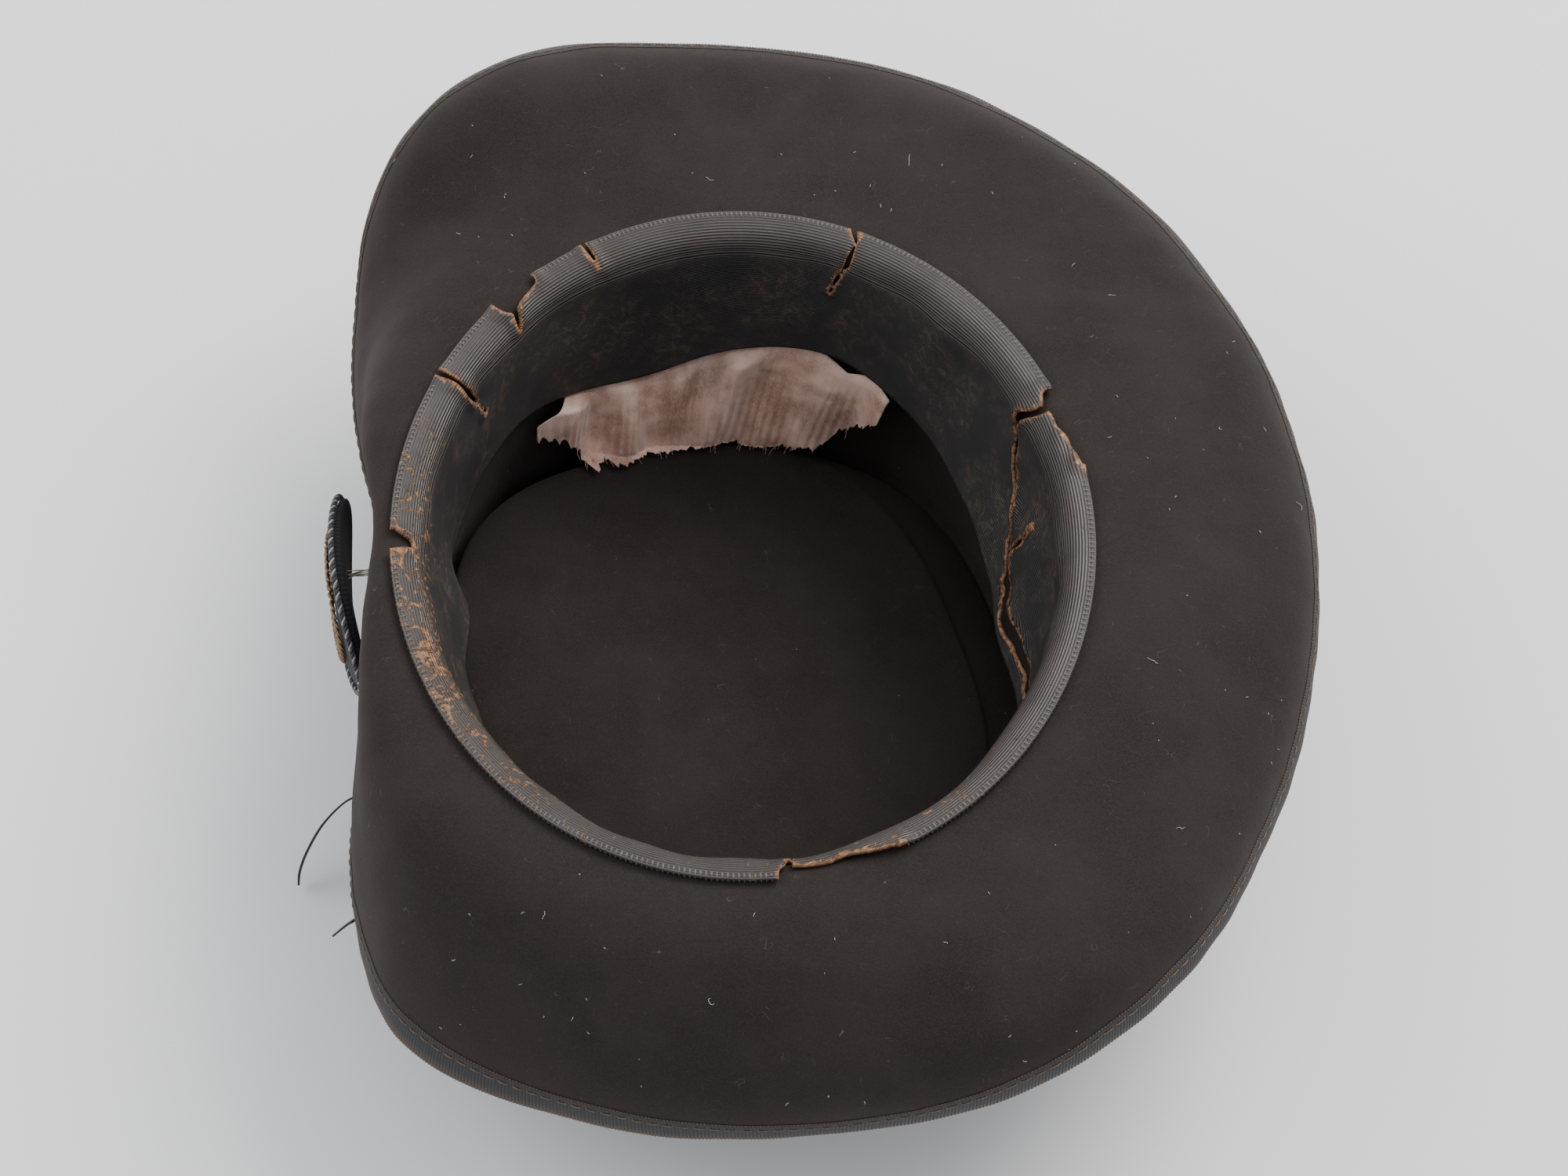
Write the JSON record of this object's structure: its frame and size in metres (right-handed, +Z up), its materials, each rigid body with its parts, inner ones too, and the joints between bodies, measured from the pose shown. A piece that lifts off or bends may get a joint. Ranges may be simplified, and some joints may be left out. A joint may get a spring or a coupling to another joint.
{
  "type": "slouch hat",
  "caption": "Wide-brimmed soft felt hat lying upside down on its dented crown, one side of the brim turned over, with a bound edge, leather sweatband and oval side badge.",
  "frame": {"origin": "centre of the hat's bounding box, on the floor that its crown's ridge rests on", "axes": "+Z up out of the head opening, +Y towards the brim's far end along the hat's long axis, -X towards the side with the turned brim and the badge"},
  "size_m": [0.2672, 0.3232, 0.1076],
  "materials": {
    "black_felt": "matt, brownish black",
    "black_ribbon": "matt, ribbed",
    "dark_leather": "worn, ribbed",
    "pink_silk": "soft sheen, torn",
    "black_velvet": "matt pile",
    "black_piping": "satin",
    "tarnished_wire": "tarnished gold brown",
    "grey_thread": "matt"
  },
  "bodies": {
    "root": {"felt_body": "black_felt", "brim_binding": "black_ribbon", "sweatband": "dark_leather", "hatband": "black_ribbon", "lining_remnant": "pink_silk", "ribbon_tail_long": "black_ribbon", "ribbon_tail_short": "black_ribbon", "badge_pad": "black_velvet", "badge_edge_cord": "black_piping", "badge_embroidery": "tarnished_wire", "badge_thread": "grey_thread"}
  },
  "joints": []
}
